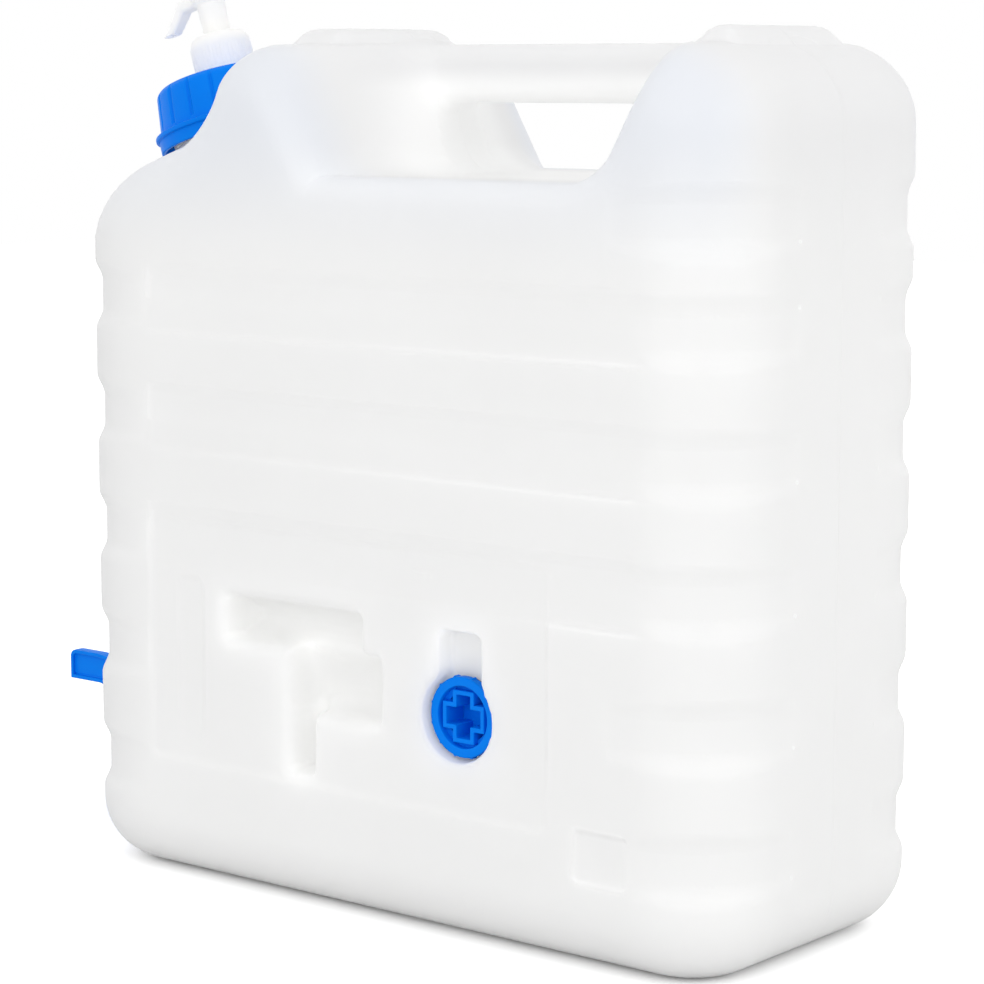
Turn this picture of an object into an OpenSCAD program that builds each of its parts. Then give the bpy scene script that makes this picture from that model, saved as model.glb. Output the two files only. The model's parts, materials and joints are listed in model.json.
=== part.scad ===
// Water canister with a drain tap, a storage pocket for the tap, a stowed drain plug,
// and a soap pump in its screw cap. X runs along the large faces, the tap is at the -X end,
// the pockets are in the -Y face, and Z is up from the middle of the base.

/* [Canister] */
// Length over the two end faces
body_l = 371; // [340:1:420]
// Depth over the two large faces
body_d = 168; // [150:1:190]
// Height of the top of the humps and of the handle bar
body_h = 378; // [365:1:400]
// Radius of the four upright corners, seen from above
corner_r = 41; // [32:1:48]
// Radius of the edge round the base
base_r = 30; // [20:1:34]
// Radius of the edge along the top of the humps
top_r = 25; // [16:1:30]
// Wall of the blown shell
wall = 2.2; // [1.8:0.1:2.6]

/* [Corner steps] */
// Depth of the stepped-in notches at the upright corners
notch_depth = 3.2; // [2:0.1:4]
// Height of one notch where it is deepest
notch_h = 22; // [16:1:26]
// Height of the middle of the lowest notch
notch_first = 50.5; // [46:0.5:56]
// Rise from one notch to the next
notch_pitch = 54; // [48:0.5:56]

/* [Face bands] */
// Depth of the shallow bands and of the lower panel
band_depth = 1.5; // [0.8:0.1:1.6]
// Right end of the bands
band_right = 152; // [151:1:156]
// Left end of the bands
band_left = -126; // [-130:1:-115]
// Left edge of the lower panel
panel_left = -128; // [-132:1:-118]
// Right edge of the lower panel
panel_right = 100; // [96:1:108]
// Lower edge of the lower panel
panel_bottom = 58; // [54:1:60]

/* [Handle] */
// Depth of the hand hole's sill below the top of the humps
sill_drop = 56; // [52:1:62]
// Height of the handle bar
bar_h = 25; // [20:1:28]
// Thickness of the handle bar, front to back
bar_d = 30; // [26:1:36]
// Right flank of the hand hole at the sill, beside the bar
hole_right = 101; // [94:1:106]
// Left flank of the hand hole at the sill, beside the bar
hole_left = -9; // [-14:1:-2]
// How far the hole's left flank draws back from the bar out to the large faces
flare_left = 22; // [16:1:26]
// How far the hole's right flank draws back from the bar out to the large faces
flare_right = 20; // [16:1:26]

/* [Stacking pads] */
// Height of the pads on the humps
pad_h = 7; // [4:0.5:9]
// Half the width of the pads, front to back
pad_half_d = 42; // [36:1:46]
// Outer edge of the left pad
pad_left_out = -82; // [-84:1:-76]
// Inner edge of the left pad, beside the handle bar
pad_left_in = -38; // [-50:1:-36]
// Outer edge of the right pad
pad_right_out = 161; // [150:1:163]
// Inner edge of the right pad, beside the handle bar
pad_right_in = 128; // [126:1:136]
// How far the pads' inner edges draw back towards the large faces
pad_taper = 13; // [8:1:14]

/* [Neck and cap] */
// Lean of the neck towards the tap end
neck_tilt = 17; // [12:0.5:19]
// Distance of the cap's flange from the middle of the canister
neck_x = -151; // [-153:0.5:-149]
// Depth of the middle of the cap's flange below the top of the humps
neck_drop = 36.5; // [35:0.5:38]
// Outer radius of the neck
neck_r = 30.5; // [29:0.1:30.8]
// Wall of the neck
neck_wall = 3; // [2.4:0.1:3.4]
// Height of the cap above its flange
cap_rise = 22.5; // [21:0.5:26]
// Depth of the cap's skirt below its flange
cap_skirt = 7; // [6:0.5:9]
// Radius of the cap's flange
cap_r = 39.5; // [39:0.5:42]
// Number of grip flutes round the cap
cap_flutes = 18; // [12:1:24]

/* [Soap bottle and pump] */
// Radius of the soap bottle
bottle_r = 24.5; // [20:0.5:25]
// Depth of the soap bottle below the cap's flange
bottle_depth = 75; // [50:1:90]
// Radius of the soap bottle's own neck
bottle_neck_r = 12; // [11:0.5:12.5]
// Wall of the soap bottle
bottle_wall = 1.5; // [1.2:0.1:2]
// Height of the pump's collar
collar_h = 21; // [19:0.5:24]
// Radius of the pump's collar
collar_r = 14.6; // [14.4:0.1:16]
// Radius of the skirt below the pump's head
skirt_r = 6.8; // [6.2:0.1:7]
// Height of the head's skirt above the collar
skirt_h = 17; // [16:0.5:20]
// Travel of the pump
pump_travel = 14; // [10:0.5:15]
// Reach of the pump's nozzle
nozzle_reach = 32; // [26:1:40]

/* [Tap] */
// Height of the tap's inlet above the base
tap_z = 45; // [43:0.5:46]
// Distance of the valve's spindle from the end of the canister
tap_reach = 44.5; // [40:0.5:50]
// Radius of the tap's threaded shank
shank_r = 13; // [12:0.1:13.4]
// Radius of the valve chamber
chamber_r = 10.5; // [10:0.1:12]
// Height of the underside of the spout
spout_z = 14; // [10:0.5:16]
// Outer radius of the spout
spout_r = 8; // [7.6:0.1:8.6]
// Reach of the lever from its spindle
lever_reach = 40.5; // [32:0.5:46]
// Height of the lever's paddle
lever_h = 18.5; // [15:0.5:22]

/* [Stowed plug] */
// Place of the plug along the face
plug_x = 51; // [48:0.5:54]
// Height of the plug above the base
plug_z = 98; // [95:0.5:101]
// Depth of the plug's face below the large face
plug_inset = 6; // [3:0.5:7]
// Radius of the plug's rim
plug_r = 17.35; // [16.5:0.05:18]
// Length of one arm pair of the cross-shaped socket
cross_l = 22.5; // [20:0.5:24]
// Width of the arms of the cross-shaped socket
cross_w = 11.5; // [9:0.5:12]
// Wall of the plug
plug_wall = 2; // [1.6:0.1:2.4]

/* [Hidden] */

// Facet angle of the soft edges, and the finest curve of small round parts
arc_step = 9;
// Gap between pieces that turn or slide past each other, and the gap of a close running fit
gap = 0.4;
running = 0.05;
// How far a cutter runs past what it cuts
past = 1;

half_l = body_l / 2;
half_d = body_d / 2;
sill_h = body_h - sill_drop;
neck_z = body_h - neck_drop;
mould_white = [0.94, 0.945, 0.94];
cap_blue = [0.03, 0.45, 0.92];
seal_black = [0.12, 0.12, 0.13];
pump_white = [0.96, 0.97, 0.98];

// Outlines with rounded corners
function unit(v) = v / norm(v);
function lerp(a, b, t) = a + (b - a) * t;
function turn(a) = a > 180 ? a - 360 : a <= -180 ? a + 360 : a;
function rounded_corner(a, b, c, r, steps) =
    let (u = unit(a - b), v = unit(c - b), half = acos(u * v) / 2)
    let (mid = b + unit(u + v) * r / sin(half), from = b + u * r / tan(half) - mid)
    let (start = atan2(from.y, from.x), to = b + v * r / tan(half) - mid)
    let (sweep = turn(atan2(to.y, to.x) - start))
    let (n = steps > 0 ? steps : max(1, round(abs(sweep) / arc_step)))
    [for (i = [0:n]) mid + r * [cos(start + sweep * i / n), sin(start + sweep * i / n)]];
// Corners are [x, y, radius], and a radius of 0 stays sharp
function outline(corners, steps = 0) =
    let (n = len(corners))
    [for (i = [0:n - 1]) let (p = corners[i], q = corners[(i + n - 1) % n], s = corners[(i + 1) % n])
        each p[2] <= 0 ? [[p.x, p.y]]
            : rounded_corner([q.x, q.y], [p.x, p.y], [s.x, s.y], p[2], steps)];
function box_corners(x0, x1, y0, y1, r0, r1) =
    [[x0, y0, r0], [x1, y0, r0], [x1, y1, r1], [x0, y1, r1]];

// Extrusions along Y and X of outlines drawn in XZ and YZ
module along_y(from, to) {
    translate([0, to, 0]) rotate([90, 0, 0]) linear_extrude(to - from) children();
}
module along_x(from, to) {
    translate([from, 0, 0]) rotate([90, 0, 90]) linear_extrude(to - from) children();
}
// A ring of washer section round Z
module tube(r_in, r_out, from, to) {
    translate([0, 0, from]) difference() {
        cylinder(r = r_out, h = to - from, $fn = 96);
        translate([0, 0, -past]) cylinder(r = r_in, h = to - from + 2 * past, $fn = 96);
    }
}
// A closed skin through rings of equal length, each clockwise as seen from before the first
module loft(rings) {
    n = len(rings[0]);
    last = len(rings) - 1;
    polyhedron(
        points = [for (ring = rings) each ring],
        faces = concat(
            [[for (i = [0:n - 1]) i]],
            [for (k = [0:last - 1], i = [0:n - 1]) let (j = (i + 1) % n)
                each [[k * n + i, (k + 1) * n + i, (k + 1) * n + j],
                    [k * n + i, (k + 1) * n + j, k * n + j]]],
            [[for (i = [0:n - 1]) last * n + n - 1 - i]]
        ));
}

// Neck frame: origin at the middle of the cap's flange, its Z along the neck
neck_axis = [-sin(neck_tilt), cos(neck_tilt)];
neck_along = [cos(neck_tilt), sin(neck_tilt)];
neck_centre = [neck_x, neck_z];
shoulder_drop = cap_skirt + 9;
shoulder_mid = neck_centre - shoulder_drop * neck_axis;
neck_rim = cap_rise - 7.5;
module at_neck() {
    translate([neck_x, 0, neck_z]) rotate([0, -neck_tilt, 0]) children();
}

// Side outline of the canister, with the sloping shoulder below the neck and the hump behind it
shoulder_end = shoulder_mid - neck_along * (shoulder_mid.x + half_l) / neck_along.x;
flank_angle = 60;
flank_foot = shoulder_mid + neck_along * 42.5;
flank_top = flank_foot + [cos(flank_angle), sin(flank_angle)] * (body_h - flank_foot.y) / sin(flank_angle);
side_corners = [
    [-half_l, 0, base_r],
    [half_l, 0, base_r],
    [half_l, body_h, 34],
    [flank_top.x, flank_top.y, 22],
    [flank_foot.x, flank_foot.y, 9],
    [shoulder_end.x, shoulder_end.y, base_r],
];
cap_relief_r = cap_r + 7.5;
module canister_form(inset) {
    difference() {
        intersection() {
            along_y(-half_d - past, half_d + past)
                offset(delta = -inset) polygon(outline(side_corners));
            translate([0, 0, -past]) linear_extrude(body_h + 2 * past)
                offset(delta = -inset)
                    polygon(outline(box_corners(-half_l, half_l, -half_d, half_d, corner_r, corner_r)));
            along_x(-half_l - past, half_l + past)
                offset(delta = -inset)
                    polygon(outline(box_corners(-half_d, half_d, 0, body_h, base_r, top_r)));
        }
        valley(inset);
        at_neck() translate([0, 0, gap - shoulder_drop - inset])
            cylinder(r = cap_relief_r + inset, h = 90, $fn = 96);
        corner_notches(inset);
        face_bands(inset);
        mirror([0, 1, 0]) face_bands(inset);
        front_panel(inset);
        base_recesses(inset);
    }
}

// The scooped hand hole between the humps, narrow beside the bar and wide at the large faces
bar_half = bar_d / 2;
valley_top = body_h + 20;
edge_soften = [[-1, 7.5], [0, 6], [2.5, 2.2], [7, 0]];
function valley_ring(y, share, ease, grow) =
    let (rise = valley_top - sill_h, out = ease + grow)
    let (left = hole_left - flare_left * share - out, right = hole_right + flare_right * share + out)
    [for (p = outline([
        [right + lerp(0.28, 0.6, share) * rise, valley_top, 0], [right, sill_h - out, 13],
        [left, sill_h - out, 15], [left - lerp(0.28, 0.62, share) * rise, valley_top, 0],
    ], 4)) [p.x, y, p.y]];
module valley(grow) {
    near = bar_half - 0.6 * grow;
    far = half_d - edge_soften[3][0] - grow;
    loft(concat(
        [for (e = edge_soften) valley_ring(grow + e[0] - half_d, 1, e[1], grow)],
        [for (share = [0.66, 0.33, 0]) valley_ring(-lerp(near, far, share), share, 0, grow)],
        [for (share = [0, 0.33, 0.66]) valley_ring(lerp(near, far, share), share, 0, grow)],
        [for (k = [len(edge_soften) - 1:-1:0])
            valley_ring(half_d - grow - edge_soften[k][0], 1, edge_soften[k][1], grow)]
    ));
}
module handle_bar(inset) {
    along_x(hole_left - 30, hole_right + 30)
        offset(delta = -inset)
            polygon(outline(box_corners(-bar_half, bar_half, body_h - bar_h, body_h, 9, 9)));
}

// Crescent notches stepped into the upright corners
notch_reach = notch_depth / 0.25;
notch_floor_r = corner_r + notch_reach - notch_depth;
module corner_notches(grow) {
    for (sx = [-1, 1], sy = [-1, 1]) {
        step_in = corner_r + notch_reach * sin(45);
        translate([sx * (half_l - step_in), sy * (half_d - step_in), 0])
            rotate([0, 0, atan2(sy, sx) - 50])
                rotate_extrude(angle = 100, $fn = 96)
                    for (row = [0:(sx > 0 ? 5 : 4)]) {
                        // The top notch sits a little closer to its neighbour
                        mid = notch_first + notch_pitch * row - (row == 5 ? 12 : row == 4 ? 1 : 0);
                        half = notch_h / 2;
                        translate([notch_floor_r, mid]) polygon([
                            [-grow, grow * 0.6 - half - grow], [8, -half - 7 - grow],
                            [8, half + 7 + grow], [-grow, half + grow - grow * 0.6],
                        ]);
                    }
    }
}

// Shallow bands across a large face, fading out to the left, and the short step beside the panel
step_left = panel_right + 14;
step_w = 27;
module face_bands(grow) {
    fade = atan(band_depth / (band_right - band_left));
    for (row = [2, 3, 4]) {
        mid = notch_first + notch_pitch * row - (row == 4 ? 1 : 0);
        translate([band_left, band_depth * 0.2 + grow - half_d, mid]) rotate([0, 0, fade])
            along_y(-10, 0)
                polygon(outline(box_corners(0, band_right - band_left + grow,
                    -notch_h / 2 - 3 - grow, notch_h / 2 + 3 + grow, 3, 3)));
    }
    along_y(-half_d - past, band_depth + grow - half_d)
        polygon(outline(box_corners(step_left - grow, step_left + step_w + grow,
            notch_first - notch_h / 2 - grow, notch_first + notch_h / 2 + grow, 3, 3)));
}

// The lower panel with the pocket for the tap and the pocket for the plug
panel_top = notch_first + 2 * notch_pitch + notch_h / 2 + 3;
module front_panel(grow) {
    along_y(-half_d - past, band_depth + grow - half_d) {
        polygon(outline(box_corners(panel_left - grow, panel_right + grow,
            panel_bottom - grow, panel_top - 6 + grow, 4, 4)));
    }
    tap_pocket(grow);
    plug_pocket(grow);
}
tap_pocket_depth = 20;
// Its level channel for the tap's barrel, whose floor drops a little towards the leg
channel_left = -84.5;
channel_right = -2.6;
channel_top = 137;
channel_floor_left = 117;
channel_floor_right = 113;
// Its upright leg for the lever
leg_left = -45;
leg_right = -30;
leg_bottom = 60;
// Its chamber for the valve
chamber_right = 8.6;
chamber_bottom = 88;
chamber_top_left = 121;
chamber_top_right = 118;
module tap_pocket(grow) {
    along_y(-half_d - past, tap_pocket_depth + grow - half_d)
        polygon(outline([
            [channel_left - grow, channel_top + grow, 4], [channel_left - grow, channel_floor_left - grow, 4],
            [leg_left - grow, channel_floor_right - grow, 4], [leg_left - grow, leg_bottom - grow, 4],
            [leg_right + grow, leg_bottom - grow, 4], [leg_right + grow, chamber_bottom - grow, 4],
            [chamber_right + grow, chamber_bottom - grow, 4],
            [chamber_right + grow, chamber_top_right + grow, 4],
            [channel_right + grow, chamber_top_left + grow, 4], [channel_right + grow, channel_top + grow, 4],
        ]));
}
plug_seat = plug_inset + 5;
plug_thread_l = 14;
// The finger notch above the plug
notch_pull_w = 23;
notch_pull_h = 37;
module at_plug() {
    translate([plug_x, -half_d, plug_z]) rotate([-90, 0, 0]) children();
}
module plug_pocket(grow) {
    at_plug() {
        translate([0, 0, -past]) cylinder(r = plug_r + 1.6 + grow, h = plug_seat + past + grow, $fn = 96);
        cylinder(r = shank_r + gap + grow, h = plug_seat + 1 + plug_thread_l + gap + grow, $fn = 96);
    }
    along_y(-half_d - past, plug_seat + grow - half_d)
        polygon(outline(box_corners(
            plug_x + 2 - notch_pull_w / 2 - grow, plug_x + 2 + notch_pull_w / 2 + grow,
            plug_z, plug_z + notch_pull_h + grow, 0, 4)));
}

// The pads on the humps, and the recesses in the base that take those of a canister below
function pad_ring(out, in, z, inset) =
    let (s = sign(out - in), side = pad_half_d - inset, r = max(1, 6 - 0.6 * inset))
    [for (p = outline([
        [out - s * inset, s * side, r], [in + s * (pad_taper + inset), s * side, r],
        [in + s * inset, s * bar_half, r], [in + s * inset, -s * bar_half, r],
        [in + s * (pad_taper + inset), -s * side, r], [out - s * inset, -s * side, r],
    ], 3)) [p.x, p.y, z]];
module pad_form(out, in, rings) {
    loft([for (r = rings) pad_ring(out, in, r[0], r[1])]);
}
module both_pads(rings) {
    pad_form(pad_left_out, pad_left_in, rings);
    pad_form(pad_right_out, pad_right_in, rings);
}
pad_chamfer = 5;
module base_recesses(grow) {
    both_pads([[-past, -2 - grow], [pad_h + 1 + grow, pad_chamfer - 2 - grow]]);
}
module stacking_pads(inset) {
    both_pads([
        [body_h - 8, inset], [body_h - inset, inset],
        [body_h + pad_h - 1.5 - inset, pad_chamfer - 1 + inset],
        [body_h + pad_h - inset, pad_chamfer + 1 + inset],
    ]);
}

// Drain boss on the end face
boss_r = 19;
boss_face = -half_l - 5.5;
boss_bore_r = shank_r + gap / 2;
module at_tap() {
    translate([-half_l, 0, tap_z]) rotate([0, -90, 0]) children();
}

// The neck's root lies this far below the cap's flange, inside the shell
neck_root = shoulder_drop + 6;
module canister_body() {
    color(mould_white) difference() {
        union() {
            canister_form(0);
            handle_bar(0);
            stacking_pads(0);
            at_neck() translate([0, 0, -neck_root]) cylinder(r = neck_r, h = neck_rim + neck_root, $fn = 96);
            at_tap() translate([0, 0, -6]) cylinder(r = boss_r, h = 6 - half_l - boss_face, $fn = 96);
        }
        difference() {
            canister_form(wall);
            at_tap() translate([0, 0, -7]) cylinder(r = boss_r, h = 9, $fn = 96);
        }
        handle_bar(wall);
        stacking_pads(wall);
        at_neck() translate([0, 0, -neck_root - past])
            cylinder(r = neck_r - neck_wall, h = 80, $fn = 96);
        at_tap() translate([0, 0, -12]) cylinder(r = boss_bore_r, h = 30, $fn = 96);
    }
}

// Screw cap, gasket and soap bottle stand on the neck
gasket_t = 1.5;
bottle_flange_t = 3;
bottle_top = neck_rim + gasket_t + bottle_flange_t;
cap_bore_r = bottle_neck_r + gap;
thread_space = 1.7;
cap_inner_r = neck_r + thread_space;
cap_foot_r = cap_r - 3;
cap_crown_r = cap_r - 5;
cap_bevel = 2.5;
flange_half = 1.2;
flute_r = 1.5;
flute_depth = 0.7;
module screw_cap() {
    taper = atan((cap_foot_r - cap_crown_r) / (cap_rise - cap_bevel - flange_half));
    color(cap_blue) at_neck() difference() {
        rotate_extrude($fn = 96) polygon([
            [cap_bore_r, cap_rise], [cap_crown_r - cap_bevel, cap_rise], [cap_crown_r, cap_rise - cap_bevel],
            [cap_foot_r, flange_half], [cap_r, flange_half], [cap_r, -flange_half],
            [cap_r - 1.3, -flange_half - 0.3], [cap_r - 1.5, -cap_skirt],
            [cap_foot_r - 0.4, -cap_skirt], [cap_foot_r - 0.4, -2], [cap_inner_r, -2],
            [cap_inner_r, bottle_top], [cap_bore_r, bottle_top],
        ]);
        for (i = [0:cap_flutes - 1])
            rotate([0, 0, 360 * i / cap_flutes])
                translate([cap_foot_r + flute_r - flute_depth, 0, flange_half + 1])
                    rotate([0, -taper, 0]) cylinder(r = flute_r, h = cap_rise, $fn = 24);
    }
}
module cap_gasket() {
    color(seal_black) at_neck()
        tube(neck_r - neck_wall, neck_r - 0.3, neck_rim, neck_rim + gasket_t);
}
bottle_neck_top = cap_rise + 13.5;
module soap_bottle() {
    color(pump_white) at_neck() rotate_extrude($fn = 96) polygon([
        [0, -bottle_depth], [bottle_r - 3, -bottle_depth], [bottle_r, 3 - bottle_depth],
        [bottle_r, bottle_top - bottle_flange_t], [neck_r - 0.3, bottle_top - bottle_flange_t],
        [neck_r - 0.3, bottle_top], [bottle_neck_r, bottle_top], [bottle_neck_r, bottle_neck_top],
        [bottle_neck_r - bottle_wall, bottle_neck_top],
        [bottle_neck_r - bottle_wall, bottle_top - bottle_wall],
        [bottle_r - bottle_wall, bottle_top - bottle_flange_t - bottle_wall],
        [bottle_r - bottle_wall, 3 + bottle_wall - bottle_depth],
        [bottle_r - 3 - bottle_wall, bottle_wall - bottle_depth], [0, bottle_wall - bottle_depth],
    ]);
}

// Soap pump
collar_top = cap_rise + collar_h;
flange_t = 1.5;
pump_gasket_t = 0.8;
barrel_top = bottle_neck_top + pump_gasket_t + flange_t;
barrel_r = bottle_neck_r - bottle_wall - 0.8;
guide_r = skirt_r + gap;
guide_floor = collar_top - 6 - pump_travel - 3;
chamber_in_r = 4.5;
chamber_wall = 1.2;
chamber_l = 34;
chamber_floor = guide_floor - chamber_l;
// The housing's foot below the chamber, and the socket in it that ends the dip tube
foot_l = 12;
tube_stop = 5.5;
module pump_collar() {
    color(pump_white) at_neck() rotate_extrude($fn = 96) polygon(concat(
        [[bottle_neck_r + gap, cap_rise + gap], [collar_r, cap_rise + gap], [collar_r - 0.3, collar_top - 6]],
        [for (a = [15:15:90]) [collar_r - 4.3 + 4 * cos(a), collar_top - 6 + 6 * sin(a)]],
        [[guide_r, collar_top], [guide_r, barrel_top + gap / 2], [bottle_neck_r + gap, barrel_top + gap / 2]]
    ));
}
module pump_gasket() {
    color(seal_black) at_neck()
        tube(barrel_r + 0.1, bottle_neck_r, bottle_neck_top, bottle_neck_top + pump_gasket_t);
}
module pump_housing() {
    color(pump_white) at_neck() rotate_extrude($fn = 96) polygon([
        [guide_r, barrel_top], [bottle_neck_r, barrel_top], [bottle_neck_r, barrel_top - flange_t],
        [barrel_r, barrel_top - flange_t], [barrel_r, guide_floor - 1.5],
        [chamber_in_r + chamber_wall, guide_floor - 2.5], [chamber_in_r + chamber_wall, chamber_floor],
        [dip_r + 1, chamber_floor - 4], [dip_r + 1, chamber_floor - foot_l], [dip_r, chamber_floor - foot_l],
        [dip_r, chamber_floor - tube_stop], [1.4, chamber_floor - tube_stop], [1.4, chamber_floor - 2.5],
        [chamber_in_r, chamber_floor], [chamber_in_r, guide_floor], [guide_r, guide_floor],
    ]);
}
stem_r = 3;
piston_h = 6;
piston_z = guide_floor - 11;
head_floor = collar_top + skirt_h;
module pump_stem() {
    color(pump_white) at_neck() tube(1.6, stem_r, piston_z - 1, head_floor + 2);
}
module pump_piston() {
    color(pump_white) at_neck() rotate_extrude($fn = 64) polygon([
        [stem_r, piston_z], [chamber_in_r - running, piston_z], [chamber_in_r - running, piston_z + 1.2],
        [chamber_in_r - 0.5, piston_z + 2], [chamber_in_r - 0.5, piston_z + piston_h - 2],
        [chamber_in_r - running, piston_z + piston_h - 1.2], [chamber_in_r - running, piston_z + piston_h],
        [stem_r, piston_z + piston_h],
    ]);
}
spring_r = 3.6;
spring_wire_r = 0.35;
spring_turns = 7;
spring_foot = chamber_floor + 0.6;
spring_head = piston_z - 0.4;
function spring_point(a) =
    [spring_r * cos(a), spring_r * sin(a),
        spring_foot + (spring_head - spring_foot) * a / 360 / spring_turns];
module pump_spring() {
    wire_sides = 6;
    color([0.75, 0.76, 0.78]) at_neck() loft([
        for (a = [0:30:360 * spring_turns]) let (c = spring_point(a), out = [cos(a), sin(a), 0])
            [for (k = [0:wire_sides - 1]) let (b = -360 * k / wire_sides)
                c + spring_wire_r * (out * cos(b) + [0, 0, sin(b)])]
    ]);
}
ball_r = 1.9;
ball_seat = chamber_floor - 1.12;
module pump_ball() {
    color([0.75, 0.76, 0.78]) at_neck() translate([0, 0, ball_seat]) sphere(r = ball_r, $fn = 48);
}
dip_r = 2.2;
dip_wall = 0.8;
dip_clear = 3;
module dip_tube() {
    color(pump_white) at_neck()
        tube(dip_r - dip_wall, dip_r, dip_clear - bottle_depth + bottle_wall, chamber_floor - tube_stop);
}
nozzle_h = 8;
nozzle_drop = 8;
module nozzle_bend() {
    translate([4 - nozzle_reach / 2, 0, head_floor + 0.6]) cube([2, 8, nozzle_h - 2], center = true);
}
module pump_head() {
    color(pump_white) at_neck() difference() {
        union() {
            translate([0, 0, collar_top - 5])
                cylinder(r = skirt_r, h = head_floor + 5 - collar_top, $fn = 96);
            translate([0, 0, head_floor - 2]) rotate_extrude($fn = 96) polygon(concat(
                [[0, 0], [skirt_r, 0], [skirt_r + 2, 2]],
                [for (a = [0:15:90]) [skirt_r - 1 + 3 * cos(a), 5 + 3 * sin(a)]], [[0, 8]]));
            hull() {
                translate([-5, 0, head_floor + 1.2]) cube([2, 10, nozzle_h - 1.4], center = true);
                nozzle_bend();
            }
            hull() {
                nozzle_bend();
                translate([-nozzle_reach, 0, head_floor + 1 - nozzle_drop]) cube([2.4, 6, 4], center = true);
            }
        }
        translate([0, 0, collar_top - 5 - past])
            cylinder(r = skirt_r - 1.5, h = head_floor - collar_top + 4, $fn = 96);
        translate([0, 0, collar_top])
            cylinder(r = stem_r + running, h = head_floor + 2 - collar_top, $fn = 48);
    }
}

// Drain tap, in its own frame: Z runs out of the end face
tap_gasket_t = 2;
tap_flange_t = 4;
tap_face = half_l + boss_face;
spindle_x = -half_l - tap_reach;
plug_bottom = tap_z - 11;
plug_top = tap_z + 11;
valve_r = 7.2;
spout_bore_r = 5.6;
port_r = 4.5;
module at_spindle() {
    translate([spindle_x, 0, 0]) children();
}
module tap_body() {
    flange_back = -tap_face + tap_gasket_t;
    color(cap_blue) difference() {
        union() {
            at_tap() {
                translate([0, 0, -10]) cylinder(r = shank_r, h = 10 + flange_back + past, $fn = 96);
                translate([0, 0, flange_back]) cylinder(r = plug_r, h = tap_flange_t, $fn = 96);
                translate([0, 0, flange_back]) cylinder(r = 8, h = tap_reach - flange_back, $fn = 64);
            }
            at_spindle() {
                translate([0, 0, plug_bottom - 3])
                    cylinder(r = chamber_r, h = plug_top - plug_bottom + 3, $fn = 96);
                translate([0, 0, spout_z]) cylinder(r = spout_r, h = plug_bottom - spout_z, $fn = 96);
            }
        }
        at_tap() translate([0, 0, -11]) cylinder(r = port_r + 1, h = 11 + tap_reach - 2, $fn = 64);
        at_spindle() {
            translate([0, 0, plug_bottom]) cylinder(r = valve_r + running, h = 40, $fn = 96);
            translate([0, 0, spout_z - past]) cylinder(r = spout_bore_r, h = 40, $fn = 96);
        }
    }
}
module tap_gasket() {
    color(seal_black) at_tap() tube(shank_r + 0.2, plug_r - 0.5, -tap_face, -tap_face + tap_gasket_t);
}
seal_r = 0.9;
lever_foot = plug_top + 2;
stem_side = 7;
module tap_plug() {
    groove = seal_r;
    color(pump_white) at_spindle() difference() {
        union() {
            translate([0, 0, plug_bottom]) cylinder(r = valve_r, h = plug_top - plug_bottom, $fn = 96);
            translate([-stem_side / 2, -stem_side / 2, plug_top - past])
                cube([stem_side, stem_side, lever_foot - plug_top + past + 9]);
        }
        translate([0, 0, plug_bottom - past]) cylinder(r = port_r, h = plug_top - plug_bottom - 4, $fn = 64);
        // The port faces the front while the tap is shut
        translate([0, 0, tap_z]) rotate([90, 0, 0]) cylinder(r = port_r - 0.5, h = valve_r + past, $fn = 64);
        for (z = [plug_bottom + 2.2, plug_top - 2.2])
            tube(valve_r - groove, valve_r + past, z - seal_r, z + seal_r);
    }
}
module tap_seal(z) {
    color(seal_black) at_spindle() translate([0, 0, z])
        rotate_extrude($fn = 64) translate([valve_r - seal_r / 2, 0]) circle(r = seal_r / 2, $fn = 24);
}
module tap_seal_upper() { tap_seal(plug_top - 2.2); }
module tap_seal_lower() { tap_seal(plug_bottom + 2.2); }
module tap_clip() {
    color(cap_blue) at_spindle() difference() {
        translate([0, 0, plug_top]) cylinder(r = chamber_r - 0.5, h = lever_foot - plug_top, $fn = 96);
        translate([-stem_side / 2, -stem_side / 2, plug_top - past])
            cube([stem_side, stem_side, lever_foot - plug_top + 2 * past]);
    }
}
lever_t = 3.6;
rim_w = 7;
rim_t = 1.8;
hub_r = 8;
hub_h = 12;
// Its upper edge slopes down from here to the hub
slope_x = -14;
slope_end = -6;
module tap_lever() {
    top = lever_foot + lever_h;
    color(cap_blue) at_spindle() difference() {
        union() {
            translate([0, 0, lever_foot]) cylinder(r = hub_r, h = hub_h, $fn = 96);
            along_y(-lever_t / 2, lever_t / 2)
                polygon(outline([
                    [-lever_reach, lever_foot, 3.5], [0, lever_foot, 0], [0, lever_foot + hub_h, 0],
                    [slope_end, top - 2, 6], [slope_x, top, 5], [-lever_reach, top, 3.5],
                ]));
            along_y(-rim_w / 2, rim_w / 2) difference() {
                polygon(outline([
                    [-lever_reach, lever_foot, 3.5], [slope_end, lever_foot, 0], [slope_end, top - 3, 3],
                    [slope_x, top, 5], [-lever_reach, top, 3.5],
                ]));
                polygon(outline([
                    [rim_t - lever_reach, lever_foot + rim_t, 2], [-4, lever_foot + rim_t, 0],
                    [-4, top - 6, 0], [slope_x, top - rim_t, 4], [rim_t - lever_reach, top - rim_t, 2],
                ]));
            }
        }
        translate([-stem_side / 2, -stem_side / 2, lever_foot - past])
            cube([stem_side, stem_side, 9 + past]);
    }
}

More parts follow.
